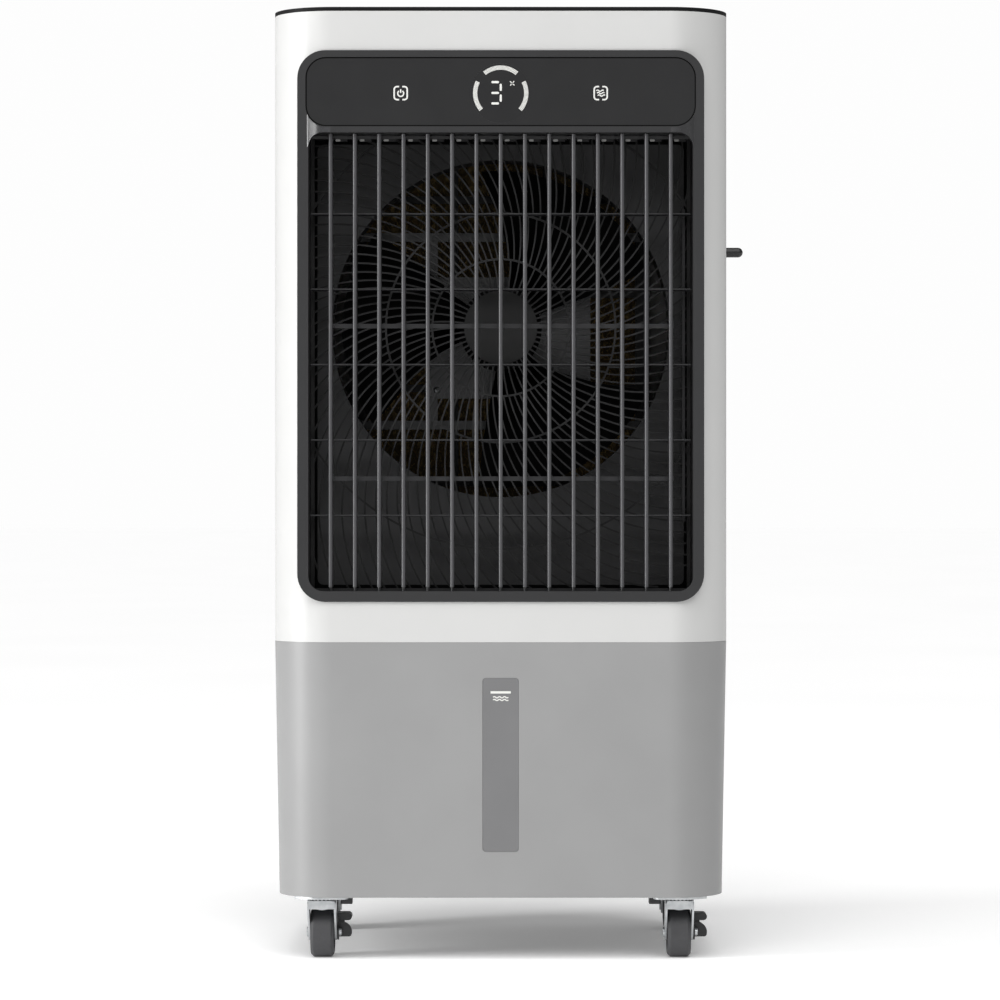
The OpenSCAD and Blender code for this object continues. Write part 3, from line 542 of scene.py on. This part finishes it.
def key_mark(cx, cz):
    """Two round brackets that face each other, open in the middle above and below."""
    half, r, width, opening = 6.5, 2.8, 1.5, 1.6
    out = []
    for side in (1, -1):
        upper = arc_line(half - r, half - r, r, 90, 0, 6)
        line = [(opening, half), *upper, *[(x, -z) for x, z in upper[::-1]], (opening, -half)]
        out.append(stroke([(cx + side * x, cz + z) for x, z in line], width))
    return out


# Key marks: a switch sign on the left and three level waves on the right.
KEY_X = 100.0
SWITCH_R, SWITCH_WIDTH = 3.0, 1.3
print_marks("power_key", key_mark(-KEY_X, lens_z)
            + [stroke(arc_line(-KEY_X, lens_z - 0.3, SWITCH_R, 124, 416, 20), SWITCH_WIDTH),
               stroke([(-KEY_X, lens_z + 0.2), (-KEY_X, lens_z + 3.9)], SWITCH_WIDTH)])
WAVE_LEFT, WAVE_LENGTH, WAVE_GAP, WAVE_LEAN = 3.7, 7.4, 2.4, 0.3
waves = [wave(KEY_X - WAVE_LEFT - WAVE_LEAN * dz, lens_z + dz, WAVE_LENGTH, 16, 11)
         for dz in (-WAVE_GAP, 0.0, WAVE_GAP)]
print_marks("mist_key", key_mark(KEY_X, lens_z) + [stroke(w, 1.1) for w in waves])

# Black shut line round the panel, where it sits in the bezel.
panel_w, panel_h = panel_high.x - panel_low.x, panel_high.z - panel_low.z
panel_z = (panel_low.z + panel_high.z) / 2
CORNER = 20.3                                # the panel's corner radius
SHUT_OUT, SHUT_IN = 0.3, 2.2                 # how much wider and narrower than the panel the line's two edges are
piece("panel_shut_line",
      [frame_prism(round_outline(panel_w + SHUT_OUT, panel_h + SHUT_OUT, CORNER + 0.1, 10, cy=panel_z),
                   round_outline(panel_w - SHUT_IN, panel_h - SHUT_IN, CORNER - 1.1, 10, cy=panel_z),
                   FACE_Y - 0.04, FACE_Y + 0.04, on_front)], [black_joint_and_shade])


# ---------------------------------------------------------------- bezel facets

BEZEL_Y = box_mm("front_bezel")[0].y


def inside_corner(x, half, r):
    """How far a round corner's arc has turned in from its edge at x; half is half the width between the edges."""
    into = min(max(r - (half - x), 0), r)
    return r - math.sqrt(r ** 2 - into ** 2)


def facet_trim(side):
    """Fine upright reeds at one end of the band under the panel; each slopes outwards, the outer ones most."""
    outer, inner, pitch, lean = 193.6, 170.0, 0.6, 37
    recess_half, open_half, open_corner = 195.0, 192.5, 15.0
    top_edge, open_edge = panel_low.z - 0.9, 830.3
    back, front = BEZEL_Y + 0.05, BEZEL_Y - 0.01
    count = int((outer - inner) / pitch)
    faces = [[0, 1, 2, 3], [4, 5, 6, 7], [0, 1, 5, 4], [1, 2, 6, 5], [2, 3, 7, 6], [3, 0, 4, 7]]
    parts = []
    for n in range(count):
        xs = outer - n * pitch, outer - (n + 1) * pitch
        rise = pitch * math.tan(math.radians(lean * (1 - (n / count) ** 1.6)))
        t0, t1 = [top_edge + inside_corner(x, recess_half, CORNER) for x in xs]
        l0, l1 = [open_edge + 0.5 - inside_corner(x, open_half, open_corner) for x in xs]
        x0, x1 = side * xs[0], side * xs[1]
        points = [(x0, front, l0), (x0, front, t0), (x1, front - rise, t1), (x1, front - rise, l1),
                  (x0, back, l0), (x0, back, t0), (x1, back, t1), (x1, back, l1)]
        parts.append((points, faces, 0))
    return parts


piece("bezel_facets", facet_trim(-1) + facet_trim(1), [facet_abs])


# ---------------------------------------------------------------- outlet

shroud_low, shroud_high = box_mm("shroud")
SHROUD_DEPTH, RIM_X, RIM_Z = 20, 3.2, 4.2    # front edge to plate, and the rim's thickness
PLATE_Y = shroud_low.y + SHROUD_DEPTH
inner_w = shroud_high.x - shroud_low.x - 2 * RIM_X
inner_h = shroud_high.z - shroud_low.z - 2 * RIM_Z
mid_z = (shroud_low.z + shroud_high.z) / 2
# Near-black strip laid in the corner between the shroud's rim and its plate: painted shade where the rim shadows
# the plate.
piece("corner_painted_shade", [frame_prism(round_outline(inner_w, inner_h, 3, 4, cy=mid_z),
                                round_outline(inner_w - 10.5, inner_h - 9, 6, 4, cy=mid_z),
                                PLATE_Y - 1.6, PLATE_Y + 0.1, on_front)], [black_joint_and_shade])


# Motor plate, bolted to the front of the bracket behind the hub.
bracket_low, bracket_high = box_mm("motor_bracket")
FAN_Z = (bracket_low.z + bracket_high.z) / 2
BRACKET_Y = bracket_high.y - 3               # front face of the bracket's web


def matching_circle(r, steps, cx, cy):
    """Circle whose points pair off with those of round_outline with the same steps."""
    turns = [math.radians(a0 + 90 * s / steps) for a0 in (0, 90, 180, 270) for s in range(steps + 1)]
    return [(cx + r * math.cos(a), cy + r * math.sin(a)) for a in turns]


MOTOR_PLATE_W, MOTOR_PLATE_H, MOTOR_PLATE_T, MOTOR_HOLE_R = 168, 126, 1.5, 19
motor_plate_edge = round_outline(MOTOR_PLATE_W, MOTOR_PLATE_H, 8, 8, 9, FAN_Z - 7)
piece("motor_plate", [frame_prism(motor_plate_edge, matching_circle(MOTOR_HOLE_R, 8, 0, FAN_Z),
                                  BRACKET_Y - MOTOR_PLATE_T, BRACKET_Y - 0.05, on_front)],
      [plate_coat], edge=0.3)

# Pale nubs along the top of the outlet, each a little to the right of its vane: a painted highlight for the glint
# on the lower edge of each vane's bushing lug.
TIP_W, TIP_H, TIP_Z, TIP_ASIDE = 5, 2.2, 825.1, 6.5
TIP_Y = (-156.6, -155.4)
tips = []
for n in range(1, 16):
    vane_low, vane_high = box_mm(f"vane_{n}")
    x = (vane_low.x + vane_high.x) / 2
    tips.append(prism(round_outline(TIP_W, TIP_H, 1.0, 4, x + TIP_ASIDE, TIP_Z), *TIP_Y, on_front))
piece("highlight_nubs", tips, [highlight_nub_pale], edge=0.3)

# Rail that carries the bushings, just under the top edge of the outlet.
RAIL_HALF, RAIL_LOW, RAIL_HIGH = 191, 826.4, 829.6
RAIL_Y = (-156.4, -155.3)
rail = [(-RAIL_HALF, RAIL_LOW), (RAIL_HALF, RAIL_LOW), (RAIL_HALF, RAIL_HIGH), (-RAIL_HALF, RAIL_HIGH)]
piece("bushing_rail", [prism(rail, *RAIL_Y, on_front)], [shroud_pp], edge=0.3)


# ---------------------------------------------------------------- level window

window_low, window_high = box_mm("level_window")
SLOPE = math.atan(4.6 / 256.1)               # the tank's front leans back this much over its height


def on_window(u, v, w):
    """Point on the leaning window: u across, v up, w out of its face."""
    return (u, window_low.y + (window_high.z - v) * math.tan(SLOPE) - w, v)


# A level line with two waves under it.
LINE_HALF, LINE_THICK, WAVE_HALF = 10.1, 1.15, 7.6
line_z = window_high.z - 14.4
line = [(-LINE_HALF, line_z - LINE_THICK), (LINE_HALF, line_z - LINE_THICK),
        (LINE_HALF, line_z + LINE_THICK), (-LINE_HALF, line_z + LINE_THICK)]
ripples = [stroke(wave(-WAVE_HALF, line_z - drop, 2 * WAVE_HALF, 24, 8), 1.1) for drop in (4.9, 7.6)]
piece("level_marks", [prism(o, -0.05, 0.08, on_window) for o in [line, *ripples]], [ink_white])


# ---------------------------------------------------------------- lid

# Grip ribs near the lid's front edge.
RIB_W, RIB_T, RIB_PITCH, RIB_COUNT = 64, 1.3, 3.2, 6
lid_low, lid_high = box_mm("top_lid")
lid_mid = (lid_low.x + lid_high.x) / 2
ribs = [prism(round_outline(RIB_W, RIB_T, 0.6, 4, lid_mid, lid_low.y + 9 + RIB_PITCH * n),
              lid_high.z - 0.3, lid_high.z + 0.35, on_plan) for n in range(RIB_COUNT)]
piece("lid_grip_ribs", ribs, [cover_abs], body="lid", edge=0.15)


# ---------------------------------------------------------------- cooling pad

def corrugated_pad():
    """Cross-fluted cellulose sheets, stood side by side and glued crest to crest."""
    low, high = box_mm("cooling_pad")
    gap, flute, rise, inset = 7.0, 15.0, 3.3, 0.3
    steep, shallow = 45, 15                  # how the flutes of every other sheet lean, in degrees
    count = int((high.x - low.x - 2 * rise) / gap)
    rows, cols = int((high.z - low.z) / flute * 6), 6
    faces = [[i * (cols + 1) + j, i * (cols + 1) + j + 1, (i + 1) * (cols + 1) + j + 1, (i + 1) * (cols + 1) + j]
             for i in range(rows) for j in range(cols)]
    parts = []
    for s in range(count + 1):
        lean = math.radians(steep if s % 2 else -shallow)
        x0 = low.x + rise + inset + s * (high.x - low.x - 2 * rise - 2 * inset) / count
        points = []
        for i in range(rows + 1):
            z = low.z + inset + (high.z - low.z - 2 * inset) * i / rows
            for j in range(cols + 1):
                y = low.y + inset + (high.y - low.y - 2 * inset) * j / cols
                phase = 2 * math.pi * (z * math.cos(lean) + y * math.sin(lean)) / flute
                points.append((x0 + rise * math.sin(phase), y, z))
        parts.append((points, faces, 0))
    # One flat sheet glued in at mid-depth stops a straight view through the flutes.
    mid_y, x0, x1, z0, z1 = (low.y + high.y) / 2, low.x + 1, high.x - 1, low.z + 1, high.z - 1
    parts.append(([(x0, mid_y, z0), (x1, mid_y, z0), (x1, mid_y, z1), (x0, mid_y, z1)], [[0, 1, 2, 3]], 0))
    sheets = piece("pad_sheets", parts, [pad_cellulose])
    paper = sheets.modifiers.new("paper", "SOLIDIFY")
    paper.thickness, paper.offset = 0.35 * MM, 0
    sheets.modifiers.move(1, 0)
    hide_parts("cooling_pad")


corrugated_pad()


# ---------------------------------------------------------------- screws

def screw_parts(cx, cz, r, turn, twist):
    """Pan head with a black cross for its recess, standing out along +w of turn; the cross is painted shade in
    place of a cut recess.
    """
    h = 0.55 * r
    profile = [(r, 0), (r, 0.25 * h), (0.94 * r, 0.5 * h), (0.75 * r, 0.8 * h), (0.45 * r, 0.96 * h), (0.05 * r, h)]
    parts = [lathe(profile, lambda u, v, w: turn(cx + u, cz + v, w), 24)]
    # Two near-black bars stand on the head: painted shade for the cross recess.
    for a in (twist, twist + math.pi / 2):
        c, s = math.cos(a), math.sin(a)
        bar = [(0.58 * r, 0.1 * r), (-0.58 * r, 0.1 * r), (-0.58 * r, -0.1 * r), (0.58 * r, -0.1 * r)]
        parts.append(prism([(cx + c * p - s * q, cz + s * p + c * q) for p, q in bar], 0.3 * h, h + 0.02, turn, 1))
    return parts


def screws(name, places, r, turn):
    """Several screws as one piece, each turned a little further than the last."""
    parts = []
    for n, (cx, cz) in enumerate(places):
        parts += screw_parts(cx, cz, r, turn, 0.4 + 0.9 * n)
    piece(name, parts, [screw_steel, black_joint_and_shade])


grille_low, grille_high = box_mm("rear_grille")
grille_mid = (grille_low.z + grille_high.z) / 2
screws("grille_screws", [(x, z) for x in (grille_low.x + 5.5, grille_high.x - 5.5)
                         for z in (grille_low.z + 8, grille_mid, grille_high.z - 8)],
       3.0, lambda u, v, w: (u, grille_high.y - 1.6 + w * 0.9, v))

screws("motor_plate_screws", [(x, FAN_Z + z) for x in (-66, 84) for z in (-61, 47)],
       3.4, lambda u, v, w: (u, BRACKET_Y - MOTOR_PLATE_T - w, v))
screws("bracket_screws", [(x, z) for x in (-178, 178) for z in (bracket_low.z + 4.7, bracket_high.z - 4.7)],
       3.2, lambda u, v, w: (u, bracket_high.y + w - 0.1, v))


# ---------------------------------------------------------------- casters

TRAIL = 18                                   # the axle lies this far behind the swivel
RACE_TEETH, RACE_TIP, RACE_ROOT, RACE_HOLE = 22, 14.7, 13.6, 10    # a count, then radii
STOP_W, STOP_D, STOP_ASIDE = 11.8, 16.8, 25
APRON_FRONT, APRON_T = 14.2, 1.6             # ahead of the swivel, and its thickness
NUT_R, NUT_FROM, NUT_TO, RIVET_FROM = 3.6, 16.6, 19.4, 15.4    # from the wheel's middle


def apron_outline(cx):
    """Front lip of the fork's crown, turned down between the legs."""
    half, low, high, r = 13.6, 50.9, 59.2, 2.5
    return [(cx - half, low + 1), (cx - half + 1.5, low), (cx + half - 1.5, low), (cx + half, low + 1),
            *arc_line(cx + half - r, high - r, r, 0, 90, 4), *arc_line(cx - half + r, high - r, r, 90, 180, 4)]


def toothed_ring(cx, cy):
    """Outlines of the ball race's cap: a toothed rim and a round hole with as many points."""
    count = RACE_TEETH * 4
    turns = [2 * math.pi * t / count for t in range(count)]
    radii = [RACE_TIP if t % 4 < 2 else RACE_ROOT for t in range(count)]
    return ([(cx + r * math.cos(a), cy + r * math.sin(a)) for r, a in zip(radii, turns)],
            [(cx + RACE_HOLE * math.cos(a), cy + RACE_HOLE * math.sin(a)) for a in turns])


def caster_trim(corner):
    """Toothed ball race, crown apron, axle heads and stop block of one caster."""
    fork_high, mount_high = box_mm("fork_" + corner)[1], box_mm("mount_" + corner)[1]
    wheel_low, wheel_high = box_mm("wheel_" + corner)
    cx = (wheel_low.x + wheel_high.x) / 2
    axle_y, axle_z = (wheel_low.y + wheel_high.y) / 2, (wheel_low.z + wheel_high.z) / 2
    pivot_y = axle_y - TRAIL
    race_low, race_high = fork_high.z + 0.15, mount_high.z - 2.52
    # The ball race is a near-black toothed ring: painted shade for the dark gap between the fork's crown and the
    # mount.
    piece("race_teeth_" + corner, [frame_prism(*toothed_ring(cx, pivot_y), race_low, race_high, on_plan)],
          [black_joint_and_shade])
    piece("apron_" + corner,
          [prism(apron_outline(cx), pivot_y - APRON_FRONT, pivot_y - APRON_FRONT + APRON_T, on_front)],
          [zinc_sheet], body="caster_" + corner, edge=0.4)
    if corner[0] == "f":
        corners = [math.radians(60 * s) for s in range(6)]
        nut = [(axle_y + NUT_R * math.cos(a), axle_z + NUT_R * math.sin(a)) for a in corners]
        piece("axle_nut_" + corner, [prism(nut, cx + NUT_FROM, cx + NUT_TO, on_side)],
              [screw_steel], body="caster_" + corner, edge=0.4)
    rivet = lathe([(4.6, 0), (4.3, 0.4), (3.0, 0.8), (1.2, 0.9)],
                  lambda u, v, w: (cx - RIVET_FROM - w, axle_y + u, axle_z + v), 24)
    piece("axle_head_" + corner, [rivet], [screw_steel], body="caster_" + corner)
    inward = -1 if cx > 0 else 1
    block = round_outline(STOP_W, STOP_D, 1.5, 4, cx + inward * STOP_ASIDE, pivot_y)
    piece("stop_block_" + corner, [prism(block, race_low - 3.9, race_high, on_plan)],
          [black_abs], edge=0.5)


for corner in ("fl", "fr", "rl", "rr"):
    caster_trim(corner)


# ---------------------------------------------------------------- stage

def stage_floor():
    """White floor that runs far past the frame; a faint glow keeps its far end as pale as the background."""
    material, tree, shader, place = begin("studio_floor_white")
    haze = noise(tree, place, 900, 1.0)
    tree.links.new(blend_colours(tree, haze, "#FFFFFF", "#FDFDFD"), shader.inputs["Base Color"])
    set_inputs(shader, {"Roughness": 0.7, "Specular IOR Level": 0.2,
                        "Emission Color": (1, 1, 1, 1), "Emission Strength": 0.12})
    half = 60.0                              # metres
    mesh = bpy.data.meshes.new("stage_floor")
    mesh.from_pydata([(-half, -half, 0), (half, -half, 0), (half, half, 0), (-half, half, 0)], [], [[0, 1, 2, 3]])
    mesh.materials.append(material)
    floor = bpy.data.objects.new("stage_floor", mesh)
    SCENE.collection.objects.link(floor)


stage_floor()


def softbox(name, azimuth, elevation, distance, width, height, power):
    """Area light aimed at the body's middle, in metres; azimuth is measured from the front towards the left."""
    data = bpy.data.lights.new(name, "AREA")
    data.shape, data.size, data.size_y, data.energy = "RECTANGLE", width, height, power
    lamp = bpy.data.objects.new(name, data)
    SCENE.collection.objects.link(lamp)
    a, e = math.radians(azimuth), math.radians(elevation)
    target = Vector((0, 0, 0.5))
    away = Vector((-math.sin(a) * math.cos(e), -math.cos(a) * math.cos(e), math.sin(e)))
    lamp.location = target + distance * away
    lamp.rotation_euler = (target - lamp.location).to_track_quat("-Z", "Y").to_euler()


softbox("key_softbox", azimuth=68, elevation=8, distance=3.2, width=0.9, height=2.4, power=86)
overhead = bpy.data.lights.new("overhead_diffuser", "SUN")
overhead.energy, overhead.angle = 2.6, math.radians(60)
ceiling = bpy.data.objects.new("overhead_diffuser", overhead)
ceiling.rotation_euler = (math.radians(34), math.radians(1), 0)
SCENE.collection.objects.link(ceiling)

# The camera sees a nearly white background; the light it sheds on the object is much weaker.
world = bpy.data.worlds.new("studio")
SCENE.world = world
world.use_nodes = True
sky = world.node_tree
sky.nodes.clear()
rays = add_node(sky, "ShaderNodeLightPath")
seen = add_node(sky, "ShaderNodeBackground", {"Color": (1, 1, 1, 1), "Strength": 0.985})
fill = add_node(sky, "ShaderNodeBackground", {"Color": (1, 1, 1, 1), "Strength": 0.24})
mixed = add_node(sky, "ShaderNodeMixShader",
                 links={0: rays.outputs["Is Camera Ray"], 1: fill.outputs[0], 2: seen.outputs[0]})
add_node(sky, "ShaderNodeOutputWorld", links={0: mixed.outputs[0]})

camera_data = bpy.data.cameras.new("front_camera")
camera_data.sensor_width, camera_data.lens = 36.0, 141.8
camera = bpy.data.objects.new("front_camera", camera_data)
camera.location = (-0.0007, -4.125, 0.4627)
camera.rotation_euler = (math.radians(90), 0, 0)
SCENE.collection.objects.link(camera)
SCENE.camera = camera
SCENE.view_settings.view_transform = "Standard"
